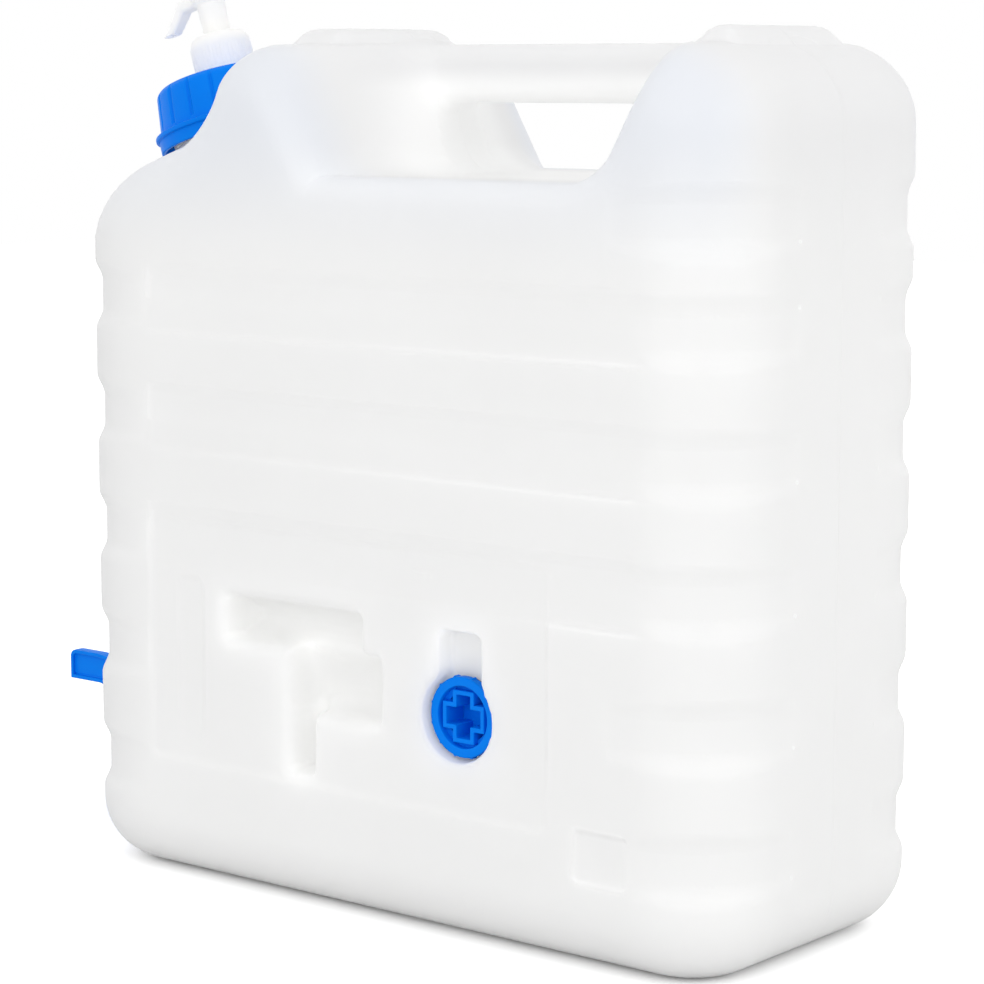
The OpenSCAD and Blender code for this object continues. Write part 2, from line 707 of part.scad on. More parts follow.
// Drain plug, stowed in its pocket
module cross(l, w, from, to) {
    for (a = [0, 90]) rotate([0, 0, a])
        translate([-l / 2, -w / 2, from]) cube([l, w, to - from]);
}
plug_flange_t = plug_seat - plug_inset;
plug_gasket_t = 1;
socket_depth = 12;
knurls = 12;
knurl_r = 0.7;
module drain_plug() {
    color(cap_blue) at_plug() translate([0, 0, plug_inset]) difference() {
        union() {
            difference() {
                union() {
                    cylinder(r = plug_r, h = plug_flange_t - plug_gasket_t, $fn = 96);
                    cylinder(r = shank_r, h = plug_flange_t + plug_thread_l, $fn = 96);
                    for (i = [0:knurls - 1]) rotate([0, 0, 360 * (i + 0.5) / knurls])
                        translate([plug_r, 0, 0])
                            cylinder(r = knurl_r, h = plug_flange_t - plug_gasket_t, $fn = 24);
                }
                translate([0, 0, -past]) cylinder(r = shank_r - plug_wall, h = 7 + past, $fn = 96);
            }
            cross(cross_l, cross_w, 0.6, 9);
        }
        cross(cross_l - 2 * plug_wall, cross_w - 2 * plug_wall, -past, socket_depth);
    }
}
module drain_plug_gasket() {
    color(seal_black) at_plug()
        tube(shank_r + 0.1, plug_r - 0.6, plug_seat - plug_gasket_t, plug_seat);
}

canister_body();
screw_cap();
cap_gasket();
soap_bottle();
pump_collar();
pump_head();
pump_stem();
pump_piston();
pump_housing();
pump_spring();
pump_ball();
pump_gasket();
dip_tube();
tap_body();
tap_gasket();
tap_plug();
tap_lever();
tap_seal_upper();
tap_seal_lower();
tap_clip();
drain_plug();
drain_plug_gasket();
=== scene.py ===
import json
import math

import bmesh
import bpy
import numpy as np
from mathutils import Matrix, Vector


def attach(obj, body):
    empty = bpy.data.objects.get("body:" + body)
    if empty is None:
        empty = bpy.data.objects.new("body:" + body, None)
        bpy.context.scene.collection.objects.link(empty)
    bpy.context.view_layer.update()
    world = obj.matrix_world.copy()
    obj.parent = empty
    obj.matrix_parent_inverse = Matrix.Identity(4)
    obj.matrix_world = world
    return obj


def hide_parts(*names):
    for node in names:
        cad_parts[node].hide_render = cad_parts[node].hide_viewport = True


MM = 0.001
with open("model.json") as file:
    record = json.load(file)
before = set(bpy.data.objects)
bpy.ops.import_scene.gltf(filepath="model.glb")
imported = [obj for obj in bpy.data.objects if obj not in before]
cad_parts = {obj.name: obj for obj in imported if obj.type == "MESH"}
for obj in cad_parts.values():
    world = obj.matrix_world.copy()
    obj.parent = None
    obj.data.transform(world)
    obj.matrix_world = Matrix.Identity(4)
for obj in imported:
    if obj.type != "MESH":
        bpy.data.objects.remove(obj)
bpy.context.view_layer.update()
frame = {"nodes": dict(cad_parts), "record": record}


# Rounded combinations of distances, in millimetres, negative inside
def meet(a, b, r):
    """What lies in both, with its edge rounded."""
    return np.minimum(np.maximum(a, b) + r, 0) + np.hypot(np.maximum(a + r, 0), np.maximum(b + r, 0)) - r


def join(a, b, r):
    """What lies in either, with a fillet between them."""
    return -meet(-a, -b, r)


def cut(a, b, r):
    """The first without the second, with the rim rounded."""
    return meet(a, -b, r)


def slab(u, v, u0, u1, v0, v1, r):
    """A rounded rectangle in two directions."""
    p = np.abs(u - (u0 + u1) / 2) - (u1 - u0) / 2 + r
    q = np.abs(v - (v0 + v1) / 2) - (v1 - v0) / 2 + r
    return np.hypot(np.maximum(p, 0), np.maximum(q, 0)) + np.minimum(np.maximum(p, q), 0) - r


def ease(t):
    t = np.clip(t, 0, 1)
    return t * t * (3 - 2 * t)


# Neck frame: s along the neck, a across it towards +X, from the middle of the cap's flange
NECK = np.array([-151.0, 0.0, 341.5])
TILT = math.radians(17)
AXIS = np.array([-math.sin(TILT), 0.0, math.cos(TILT)])
ACROSS = np.array([math.cos(TILT), 0.0, math.sin(TILT)])


def neck_coordinates(x, z):
    s = (x - NECK[0]) * AXIS[0] + (z - NECK[2]) * AXIS[2]
    a = (x - NECK[0]) * ACROSS[0] + (z - NECK[2]) * ACROSS[2]
    return s, a


def about_neck(points):
    """Distance from the neck's axis, its across and depth parts, and the height along it."""
    s, a = neck_coordinates(points[:, 0], points[:, 2])
    y = points[:, 1]
    return np.hypot(a, y), a, y, s


# Canister: the blown form, with the left hump's flank given by a point and its normal in x and z
HALF_L, HALF_D, TOP = 185.5, 84.0, 378.0
CORNER_R, BASE_R, TOP_R, RIGHT_MORE_R, LEFT_MORE_R = 41.0, 30.0, 25.0, 9, 5
FLANK_POINT, FLANK_NORMAL = (-105.68, 338.63), (-0.9135, 0.4067)
SHOULDER_DROP, SHOULDER_END = 16, -80
RELIEF_R, RELIEF_DROP = 47, 15.6
# Its hand hole: a valley with leaning ends that widens towards the large faces, and the bar over it
SILL, SILL_DROP = 322.0, 12
BAR_HALF, BAR_FLOOR, BAR_MIDDLE, BAR_REACH = 15.0, 353.0, 46, 110
VALLEY_LEFT, VALLEY_RIGHT = -9, 101
FLARE_LEFT, FLARE_RIGHT = 22, 20
LEAN, MORE_LEAN_LEFT, MORE_LEAN_RIGHT = 0.28, 0.34, 0.32
# Corner notches as middle heights, and their round floor
NOTCH_MIDDLES, NOTCH_HALF, NOTCH_SLOPE = (50.5, 104.5, 158.5, 212.5, 265.5, 308.5), 11, 0.45
NOTCH_CENTRE_X, NOTCH_CENTRE_Y, NOTCH_FLOOR = HALF_L - 50.05, HALF_D - 50.05, 50.6
# Bands, shallow at the left and deeper towards the right
BAND_MIDDLES, BAND_HALF = (158.5, 212.5, 265.5), 14
BAND_LEFT, BAND_RIGHT, BAND_RUN = -126, 158, 278
BAND_DEPTH, BAND_DEEPER = 0.2, 1.3
# Recesses of the front face as x0, x1, z0, z1, and their depths
PANEL, PANEL_DEPTH = (-128, 100, 58, 166.5), 1.5
LEVEL_STRIP, STRIP_DEPTH = (-112, -96, 64, 141), 0.5
SHORT_STEP, STEP_DEPTH = (114, 141, 39.5, 61.5), 1.5
TAP_CHANNEL, TAP_CHAMBER, TAP_LEG = (-84.5, -2.6, 115, 137), (-45, 8.6, 88, 119), (-45, -30, 60, 115)
TAP_POCKET_DEPTH, TAP_POCKET_DRAFT = 20, 0.2
PLUG_X, PLUG_Z, FINGER_NOTCH = 51, 98, (41.5, 64.5, 98, 135)
SEAT_R, SEAT_DEPTH, PLUG_BORE_R, PLUG_BORE_DEPTH = 18.95, 11, 13.4, 26.4
# Pads as their outer and inner ends, and the play of the recesses for them
PADS, PAD_HALF, PAD_NOSE, PAD_HEIGHT, PAD_ROOT = ((-82.0, -38.0), (161.0, 128.0)), 42, 15, 7, 8
PAD_RUN, PAD_RISE, PAD_CHAMFER, PAD_PLAY = 13.0, 27.0, 0.6, 1.5
DIAGONAL = 0.7071
# Neck and drain boss
NECK_R, NECK_TOP, NECK_ROOT, NECK_FOOT, NECK_BORE = 30.5, 15, -22, -24.0, 27.5
DRAIN_Z, BOSS_R, BOSS_END, BOSS_BORE = 45, 19, -191, 13.2
LINING_DEPTH, LINING_STEP = 3.5, 5.0


def hull_field(x, y, z):
    """The blown form with its shoulder, humps and hand hole, before the small features."""
    s, a = neck_coordinates(x, z)
    plan = slab(x, y, -HALF_L, HALF_L, -HALF_D, HALF_D, CORNER_R)
    flank = (x - FLANK_POINT[0]) * FLANK_NORMAL[0] + (z - FLANK_POINT[1]) * FLANK_NORMAL[1]
    hump = meet(z - TOP, flank, 20)
    shoulder = np.maximum(s + SHOULDER_DROP, x - SHOULDER_END)
    top = join(hump, shoulder, 12)
    top_r = TOP_R + RIGHT_MORE_R * ease((x - 110) / 60) + LEFT_MORE_R * ease((-120 - x) / 40)
    form = np.maximum(meet(plan, -z, BASE_R), meet(plan, top, top_r))
    relief = np.maximum(np.hypot(a, y) - RELIEF_R, -RELIEF_DROP - s)
    form = cut(form, relief, 7)
    # The share is 0 beside the bar and 1 at the large faces
    share = np.clip((np.abs(y) - BAR_HALF) / (HALF_D - BAR_HALF), 0, 1.1)
    lean_left, lean_right = LEAN + MORE_LEAN_LEFT * share, LEAN + MORE_LEAN_RIGHT * share
    left = (VALLEY_LEFT - FLARE_LEFT * share - lean_left * (z - SILL) - x) / np.hypot(1, lean_left)
    right = (x - VALLEY_RIGHT - FLARE_RIGHT * share - lean_right * (z - SILL)) / np.hypot(1, lean_right)
    sill = SILL - SILL_DROP * ease((share - 0.55) / 0.45) * ease((12 - x) / 34)
    valley = np.maximum(meet(left, sill - z, 13), meet(right, SILL - z, 13))
    form = cut(form, valley, 10)
    bar = slab(y, z, -BAR_HALF, BAR_HALF, BAR_FLOOR, TOP, 9)
    bar = np.maximum(bar, np.abs(x - BAR_MIDDLE) - BAR_REACH)
    return join(form, bar, 7)


def pad_field(x, y, z, out, near):
    """One raised pad, tapering towards the large faces on its inner side."""
    side = 1 if out > near else -1
    slant = (-side * (x - near) * PAD_RISE + (np.abs(y) - PAD_NOSE) * PAD_RUN) / math.hypot(PAD_RUN, PAD_RISE)
    outer = meet(side * (x - out), np.abs(y) - PAD_HALF, 8)
    edge = meet(outer, np.maximum(-side * (x - near), slant), 5)
    lift = z - TOP
    chamfer = (edge + np.maximum(lift, 0) + PAD_CHAMFER) * DIAGONAL
    return meet(np.maximum(edge, -lift - PAD_ROOT), meet(chamfer, lift - PAD_HEIGHT, 3), 1.5)


def canister_field(points):
    """The whole canister; each small feature is worked out only for the points near it."""
    x, y, z = points[:, 0], points[:, 1], points[:, 2]
    d = hull_field(x, y, z)

    def near(x0, x1, y0, y1, z0, z1):
        return np.flatnonzero((x > x0) & (x < x1) & (y > y0) & (y < y1) & (z > z0) & (z < z1))

    # Notches stepped into the four upright corners, the topmost only at the right
    for middle in NOTCH_MIDDLES:
        i = near(-200, 200, -100, 100, middle - 26, middle + 26)
        i = i[(np.abs(x[i]) > NOTCH_CENTRE_X - 4) & (np.abs(y[i]) > NOTCH_CENTRE_Y - 4)]
        if middle == NOTCH_MIDDLES[-1]:
            i = i[x[i] > 0]
        u, v = np.abs(x[i]) - NOTCH_CENTRE_X, np.abs(y[i]) - NOTCH_CENTRE_Y
        reach = np.hypot(np.maximum(u, 0), np.maximum(v, 0)) - NOTCH_FLOOR
        height = (np.abs(z[i] - middle) - NOTCH_HALF - NOTCH_SLOPE * np.maximum(reach, -2)) * 0.91
        d[i] = cut(d[i], meet(-reach, height, 4), 3.4)
    # Bands that fade to the left, on both large faces, crisp below and soft above
    for middle in BAND_MIDDLES:
        i = near(-140, 165, -100, 100, middle - 20, middle + 20)
        i = i[np.abs(y[i]) > 75]
        deeper = BAND_DEPTH + BAND_DEEPER * (x[i] - BAND_LEFT) / BAND_RUN
        depth = deeper * ease((BAND_RIGHT - x[i]) / 22)
        above = z[i] > middle
        edge = np.where(above, 3.5, 0.9)
        band = meet(HALF_D - depth - np.abs(y[i]), np.abs(z[i] - middle) - BAND_HALF, edge)
        d[i] = cut(d[i], np.maximum(band, BAND_LEFT - x[i]), np.where(above, 3.0, 1.0))
    # Lower panel of the front face with the level strip, fading out to the left and below
    i = near(-140, 120, -100, -55, 45, 180)
    xi, zi, depth = x[i], z[i], y[i] + HALF_D
    floor = PANEL_DEPTH * (0.35 + 0.65 * ease((xi + 128) / 80)) * ease((zi - 56) / 30)
    panel = meet(depth - floor, slab(xi, zi, *PANEL, 4), 1.4)
    d[i] = cut(d[i], panel, 2.4)
    strip = meet(depth - floor - STRIP_DEPTH, slab(xi, zi, *LEVEL_STRIP, 2), 0.6)
    d[i] = cut(d[i], strip, 0.6)
    # Pocket for the tap: a channel with two legs
    channel = join(slab(xi, zi, *TAP_CHANNEL, 4), slab(xi, zi, *TAP_CHAMBER, 4), 3)
    channel = join(channel, slab(xi, zi, *TAP_LEG, 4), 3)
    pocket = meet(channel + TAP_POCKET_DRAFT * depth, depth - TAP_POCKET_DEPTH, 8)
    d[i] = cut(d[i], pocket, 5)
    # Pocket for the plug with its finger notch, and the blind bore that holds the plug
    ring = np.hypot(xi - PLUG_X, zi - PLUG_Z)
    seat = join(ring - SEAT_R, slab(xi, zi, *FINGER_NOTCH, 4), 3)
    d[i] = cut(d[i], meet(seat, depth - SEAT_DEPTH, 2), 1.6)
    d[i] = cut(d[i], meet(ring - PLUG_BORE_R, depth - PLUG_BORE_DEPTH, 1), 0.8)
    # Short step beside the panel
    i = near(105, 150, -100, -75, 30, 70)
    step = meet(y[i] + HALF_D - STEP_DEPTH, slab(x[i], z[i], *SHORT_STEP, 3), 1.2)
    d[i] = cut(d[i], step, 1.2)
    # Pads on the humps and the recesses for them in the base
    for out, inner in PADS:
        i = near(-100, 175, -55, 55, 365, 400)
        d[i] = join(d[i], pad_field(x[i], y[i], z[i], out, inner), 2)
        i = near(-100, 175, -60, 60, -10, 20)
        d[i] = cut(d[i], pad_field(x[i], y[i], z[i] + TOP, out, inner) - PAD_PLAY, 1.5)
    # Neck with its bore, and the drain boss with its bore
    i = near(-215, -90, -60, 60, 290, 390)
    s, a = neck_coordinates(x[i], z[i])
    radius = np.hypot(a, y[i])
    d[i] = join(d[i], meet(radius - NECK_R, np.maximum(s - NECK_TOP, NECK_ROOT - s), 0.6), 4)
    d[i] = cut(d[i], np.maximum(radius - NECK_BORE, NECK_FOOT - s), 0.6)
    i = near(-200, -165, -30, 30, 15, 75)
    boss = np.hypot(y[i], z[i] - DRAIN_Z)
    d[i] = join(d[i], meet(boss - BOSS_R, np.maximum(BOSS_END - x[i], x[i] + 175), 0.8), 3)
    d[i] = cut(d[i], np.maximum(boss - BOSS_BORE, x[i] + 176), 0.6)
    return d


def gradient(field, points, reach=0.05):
    corners = np.array([[1, -1, -1], [-1, -1, 1], [-1, 1, -1], [1, 1, 1]], float)
    total = sum(c * field(points + reach * c)[:, None] for c in corners)
    return total / (4 * reach)


def draw_in(field, points, level, limit, rounds=2):
    """Moves points onto the surface, each by no more than the limit."""
    for _ in range(rounds):
        g = gradient(field, points)
        move = -(field(points) - level)[:, None] * g / np.maximum((g * g).sum(1), 0.05)[:, None]
        length = np.linalg.norm(move, axis=1)[:, None]
        points = points + move * np.minimum(1, limit / np.maximum(length, 1e-9))
    return points


def sampled(field, low, step, counts, level, block):
    """Values on the whole grid: fine in the blocks that the surface may cross, rough in the others."""
    blocks = counts // block
    middles = [low[k] + step * (np.arange(blocks[k]) * block + (block - 1) / 2) for k in range(3)]
    grid = np.stack(np.meshgrid(*middles, indexing="ij"), -1).reshape(-1, 3)
    rough = field(grid) - level
    values = rough.reshape(blocks)
    for axis in range(3):
        values = np.repeat(values, block, axis)
    values = values.astype(np.float32)
    active = np.flatnonzero(np.abs(rough) < step * block * 1.3)
    offsets = np.stack(np.meshgrid(*[np.arange(block)] * 3, indexing="ij"), -1).reshape(-1, 3)
    corner = np.stack(np.unravel_index(active, blocks), -1) * block
    cells = (corner[:, None, :] + offsets[None]).reshape(-1, 3)
    fine = np.concatenate([field(low + step * part) - level for part in np.array_split(cells, 8)])
    values[cells[:, 0], cells[:, 1], cells[:, 2]] = fine
    return values


def crossing_middles(values, where):
    """For each cell, the middle of the points where its edges cross the surface, in cell units."""
    sums, hits = np.zeros((len(where), 3)), np.zeros(len(where))
    for axis in range(3):
        others = [k for k in range(3) if k != axis]
        for i in (0, 1):
            for j in (0, 1):
                start = np.zeros(3, int)
                start[others[0]], start[others[1]] = i, j
                end = start.copy()
                end[axis] = 1
                a = values[tuple((where + start).T)]
                b = values[tuple((where + end).T)]
                crosses = (a < 0) != (b < 0)
                t = np.where(crosses, a / np.where(a == b, 1, a - b), 0)
                point = np.tile(start.astype(float), (len(where), 1))
                point[:, axis] = t
                sums += np.where(crosses[:, None], point, 0)
                hits += crosses
    return where + sums / np.maximum(hits, 1)[:, None]


def faces_between(inside, number, counts):
    """A four-sided face for each grid edge that crosses the surface, turned outwards."""
    quads = []
    for axis in range(3):
        u, v = [k for k in range(3) if k != axis]
        if axis == 1:
            u, v = v, u
        first = [slice(None)] * 3
        second = [slice(None)] * 3
        first[axis], second[axis] = slice(0, -1), slice(1, None)
        a, b = inside[tuple(first)], inside[tuple(second)]
        edge = np.argwhere(a != b)
        edge = edge[(edge[:, u] > 0) & (edge[:, v] > 0)]
        edge = edge[(edge[:, u] < counts[u] - 1) & (edge[:, v] < counts[v] - 1)]
        leaving = a[tuple(edge.T)]
        around = []
        for du, dv in ((0, 0), (-1, 0), (-1, -1), (0, -1)):
            cell = edge.copy()
            cell[:, u] += du
            cell[:, v] += dv
            around.append(number[tuple(cell.T)])
        ring = np.stack(around, -1)
        quads.append(np.where(leaving[:, None], ring, ring[:, ::-1]))
    return np.concatenate(quads)


def surface_net(field, low, high, step, level=0.0, block=4):
    """Points and four-sided faces of the surface where the field has that level."""
    low, high = np.array(low, float), np.array(high, float)
    counts = (np.ceil((high - low) / step / block).astype(int) + 1) * block
    values = sampled(field, low, step, counts, level, block)
    inside = values < 0
    corners_inside = sum(
        inside[i : counts[0] - 1 + i, j : counts[1] - 1 + j, k : counts[2] - 1 + k].astype(np.int8)
        for i in (0, 1) for j in (0, 1) for k in (0, 1)
    )
    mixed = (corners_inside > 0) & (corners_inside < 8)
    number = np.full(mixed.shape, -1, np.int64)
    where = np.argwhere(mixed)
    number[mixed] = np.arange(len(where))
    return low + step * crossing_middles(values, where), faces_between(inside, number, counts)


def build_mesh(name, points, faces):
    """A mesh object from points in millimetres and faces of three or four corners."""
    mesh = bpy.data.meshes.new(name)
    corners = faces.shape[1]
    mesh.vertices.add(len(points))
    mesh.vertices.foreach_set("co", (np.asarray(points) * MM).astype(np.float32).ravel())
    mesh.loops.add(len(faces) * corners)
    mesh.loops.foreach_set("vertex_index", faces.astype(np.int32).ravel())
    mesh.polygons.add(len(faces))
    mesh.polygons.foreach_set("loop_start", np.arange(0, len(faces) * corners, corners, dtype=np.int32))
    mesh.update(calc_edges=True)
    mesh.validate()
    piece = bpy.data.objects.new(name, mesh)
    bpy.context.scene.collection.objects.link(piece)
    return piece


def thinned(piece, share):
    """The piece's mesh with fewer faces, kept close to its shape."""
    modifier = piece.modifiers.new("thin", "DECIMATE")
    modifier.ratio = share
    graph = bpy.context.evaluated_depsgraph_get()
    lean = bpy.data.meshes.new_from_object(piece.evaluated_get(graph))
    piece.modifiers.clear()
    old, piece.data = piece.data, lean
    bpy.data.meshes.remove(old)
    lean.name = piece.name


def mesh_points(mesh):
    flat = np.zeros(len(mesh.vertices) * 3, np.float32)
    mesh.vertices.foreach_get("co", flat)
    return flat.reshape(-1, 3).astype(float) / MM


def shade_from(piece, field, level, step, flip=False):
    """Puts the points on the field's surface and takes the shading normals from the field."""
    mesh = piece.data
    points = draw_in(field, mesh_points(mesh), level, step * 0.3, 1)
    mesh.vertices.foreach_set("co", (points * MM).astype(np.float32).ravel())
    normals = gradient(field, points, 0.12)
    normals /= np.maximum(np.linalg.norm(normals, axis=1), 1e-6)[:, None]
    if flip:
        normals = -normals
    mesh.polygons.foreach_set("use_smooth", np.ones(len(mesh.polygons), bool))
    mesh.update()
    mesh.normals_split_custom_set_from_vertices(normals.astype(np.float32).tolist())


def moulded(name, field, low, high, step, share=1.0):
    """A smooth moulded piece from its field."""
    points, faces = surface_net(field, low, high, step)
    points = draw_in(field, points, 0.0, step * 0.4)
    piece = build_mesh(name, points, faces)
    if share < 1:
        thinned(piece, share)
    shade_from(piece, field, 0.0, step)
    return piece


def opened(piece, reaches):
    """Takes away the faces whose points all lie where the test holds."""
    mesh = piece.data
    gone = reaches(mesh_points(mesh))
    shell = bmesh.new()
    shell.from_mesh(mesh)
    shell.verts.ensure_lookup_table()
    doomed = [face for face in shell.faces if all(gone[v.index] for v in face.verts)]
    bmesh.ops.delete(shell, geom=doomed, context="FACES")
    shell.to_mesh(mesh)
    shell.free()


def well_floor(points):
    """The floor that closes the neck's bore."""
    r, _, _, s = about_neck(points)
    return (r < NECK_BORE - 0.4) & (s < NECK_FOOT + 1.5)


def under_neck(points):
    """What would close the lining below the neck."""
    r, _, _, s = about_neck(points)
    return (r < NECK_BORE + 1.5) & (s > NECK_FOOT - 8) & (s < NECK_FOOT)


# Canister: outer skin, open at the foot of the neck's bore, and a coarser lining inside it
def canister():
    box = (-199, -92, -6), (193, 92, 394)
    step = 2.0
    points, faces = surface_net(canister_field, *box, step)
    points = draw_in(canister_field, points, 0.0, step * 0.4)
    outer = build_mesh("canister_skin", points, faces)
    thinned(outer, 0.6)
    opened(outer, well_floor)
    shade_from(outer, canister_field, 0.0, step)
    points, faces = surface_net(canister_field, *box, LINING_STEP, -LINING_DEPTH)
    inner = build_mesh("canister_lining", draw_in(canister_field, points, -LINING_DEPTH, 2.0), faces[:, ::-1])
    opened(inner, under_neck)
    shade_from(inner, canister_field, -LINING_DEPTH, LINING_STEP, flip=True)
    return outer, inner


canister_skin, canister_lining = canister()
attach(canister_lining, "canister")
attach(canister_skin, "canister")
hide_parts("canister_body")


def neck_box(r, s0, s1):
    """Corners of a box round a piece on the neck's axis."""
    ends = np.array([NECK + AXIS * s + ACROSS * a for s in (s0, s1) for a in (-r, r)])
    low, high = ends.min(0), ends.max(0)
    low[1], high[1] = -r, r
    return low - 1, high + 1


def every(angle, count):
    """The angle folded into one sector, with zero in its middle."""
    sector = 2 * math.pi / count
    return np.mod(angle + sector / 2, sector) - sector / 2


def to_turn(along, angle, pitch, ahead=0.0):
    """Distance along the axis from the nearest turn of a screw line."""
    return np.mod(along - pitch * angle / (2 * math.pi) + ahead, pitch) - pitch / 2


# Thread and bead on the neck, on a finer grid than the canister
NECK_PITCH, NECK_RIDGE, THREAD_HALF, BEAD_S, BEAD_R = 5.0, 0.9, 6.5, -4.5, 1.5


def thread_field(points):
    r, a, y, s = about_neck(points)
    bead = np.hypot(r - 30.2, s - BEAD_S) - BEAD_R
    turn = to_turn(s, np.arctan2(y, a), NECK_PITCH, NECK_PITCH / 2)
    thread = meet(np.hypot(r - 30.3, turn) - NECK_RIDGE, np.abs(s - THREAD_HALF) - THREAD_HALF, 0.4)
    return np.maximum(np.minimum(bead, thread), 29.7 - r)


neck_thread = moulded("neck_thread", thread_field, *neck_box(33, -8, 15), 0.6)
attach(neck_thread, "canister")

# Screw cap: grip faces between narrow grooves, a flange and a short skirt, open below
GRIPS, GRIP_R, GRIP_TAPER, GROOVE_DEPTH, GROOVE_WIDTH = 18, 36.55, 2.0, 1.1, 0.8
CAP_TOP, CAP_FOOT, CAP_CHAMFER_R, CAP_HOLE_R = 22.5, -7.0, 32, 12.4
FLANGE_R, FLANGE_HALF, SKIRT_R = 39.4, 1.2, 38.0
CAP_INSIDE_R, CAP_SKIRT_INSIDE_R, CAP_CEILING, CAP_RIDGE = 32.2, 36.1, 19.5, 1.0


def cap_field(points):
    r, a, y, s = about_neck(points)
    angle = every(np.arctan2(y, a), GRIPS)
    side = GRIP_R - GRIP_TAPER * np.clip((s - FLANGE_HALF) / 18.8, 0, 1.1)
    groove = np.exp(-((angle * r / GROOVE_WIDTH) ** 2)) * GROOVE_DEPTH * ease((s - 2.4) / 1.5)
    crown = meet((r - side + groove) * 0.99, s - CAP_TOP, 0.5)
    crown = meet(crown, (r - CAP_CHAMFER_R) * DIAGONAL + (s - CAP_TOP) * DIAGONAL, 0.8)
    flange = meet(r - FLANGE_R, np.abs(s) - FLANGE_HALF, 0.7)
    skirt = meet(r - SKIRT_R, np.maximum(CAP_FOOT - s, s), 0.4)
    solid = join(join(crown, flange, 0.6), skirt, 0.5)
    solid = np.maximum(solid, CAP_FOOT - s)
    hollow = np.maximum(np.where(s < -2, r - CAP_SKIRT_INSIDE_R, r - CAP_INSIDE_R), s - CAP_CEILING)
    turn = to_turn(s, np.arctan2(y, a), NECK_PITCH)
    thread = np.maximum(np.hypot(r - 32.4, turn) - CAP_RIDGE, np.abs(s - 7) - 7.5)
    solid = np.maximum(cut(solid, hollow, 0.4), CAP_HOLE_R - r)
    return np.minimum(solid, thread)


# Pump head: skirt, domed top and an arm that goes out level and bends down to a flat-cut tip
HEAD_SKIRT_R, HEAD_DOME_R, HEAD_FOOT, HEAD_TOP = 6.75, 8.0, 38.5, 66.4
ARM_S, ARM_DROP, ARM_HALF_H, ARM_HALF_W, ARM_TIP_S = 62.6, 0.86, 3.0, 4.4, 52.0
SOCKET_R, MOUTH_R = 5.3, 1.2


def head_field(points):
    r, a, y, s = about_neck(points)
    skirt = meet(r - HEAD_SKIRT_R + 0.25 * ease((60 - s) / 12), np.maximum(HEAD_FOOT - s, s - 64), 0.4)
    dome = meet(r - HEAD_DOME_R + 1.2 * ease((61 - s) / 3), np.maximum(58.5 - s, s - HEAD_TOP), 2.4)
    bend = ease((-a - 13) / 7)
    level = ARM_S - ARM_DROP * np.maximum(-a - 16.5, 0)
    half_h = ARM_HALF_H - 0.5 * ease((-a - 10) / 12)
    half_w = ARM_HALF_W - 1.2 * ease((-a - 6) / 26)
    arm = slab(y, (s - level) * (1 - 0.26 * bend), -half_w, half_w, -half_h, half_h, 1.6)
    arm = meet(np.maximum(arm, a), ARM_TIP_S - s, 0.4)
    solid = join(join(skirt, dome, 1.0), arm, 2.2)
    socket = np.maximum(r - SOCKET_R, s - 59)
    mouth = np.hypot(y, (s - level) * 0.8) - MOUTH_R
    mouth = np.maximum(mouth, a + 22)
    return cut(cut(solid, socket, 0.3), mouth, 0.3)


# Pump collar with a domed shoulder and fine grip ribs
RIBS, RIB_HEIGHT, COLLAR_R, COLLAR_FOOT, COLLAR_TOP = 48, 0.16, 14.4, 22.9, 43.5
DOME_FOOT, DOME_FLAT_R, DOME_REACH, DOME_RISE = 37.5, 10.2, 4.2, 6.0
COLLAR_INSIDE_R, COLLAR_CEILING, COLLAR_HOLE_R = 12.4, 38.5, 7.2


def collar_field(points):
    r, a, y, s = about_neck(points)
    angle = every(np.arctan2(y, a), RIBS)
    rib = RIB_HEIGHT * np.cos(angle * RIBS) * ease((s - 24) / 1.5) * ease((DOME_FOOT - s) / 1.5)
    body = meet(r - COLLAR_R - rib, np.maximum(COLLAR_FOOT - s, s - COLLAR_TOP), 0.5)
    rise = np.maximum(s - DOME_FOOT, 0) / DOME_RISE
    dome = np.hypot(np.maximum(r - DOME_FLAT_R, 0) / DOME_REACH, rise) - 1
    body = np.maximum(body, dome * DOME_REACH)
    hollow = np.maximum(r - COLLAR_INSIDE_R, s - COLLAR_CEILING)
    return np.maximum(cut(body, hollow, 0.3), COLLAR_HOLE_R - r)


# Tap lever: a paddle with a raised rim round a recessed face, sloping down towards the hub
TAP_X, LEVER_Z = -230, 58
PADDLE_TIP, PADDLE_HEIGHT, PADDLE_HALF, PADDLE_LIFT = -40.38, 18.5, 3.5, 3.8
PANEL_TIP, PANEL_TOP, RIM, WEB_HALF = -38.6, 16.6, 1.9, 1.7
SLOPE_X, SLOPE_Z = 0.38, 0.92
HUB_R, HUB_HEIGHT, SQUARE_HALF, SQUARE_TOP = 8.0, 12, 3.5, 9


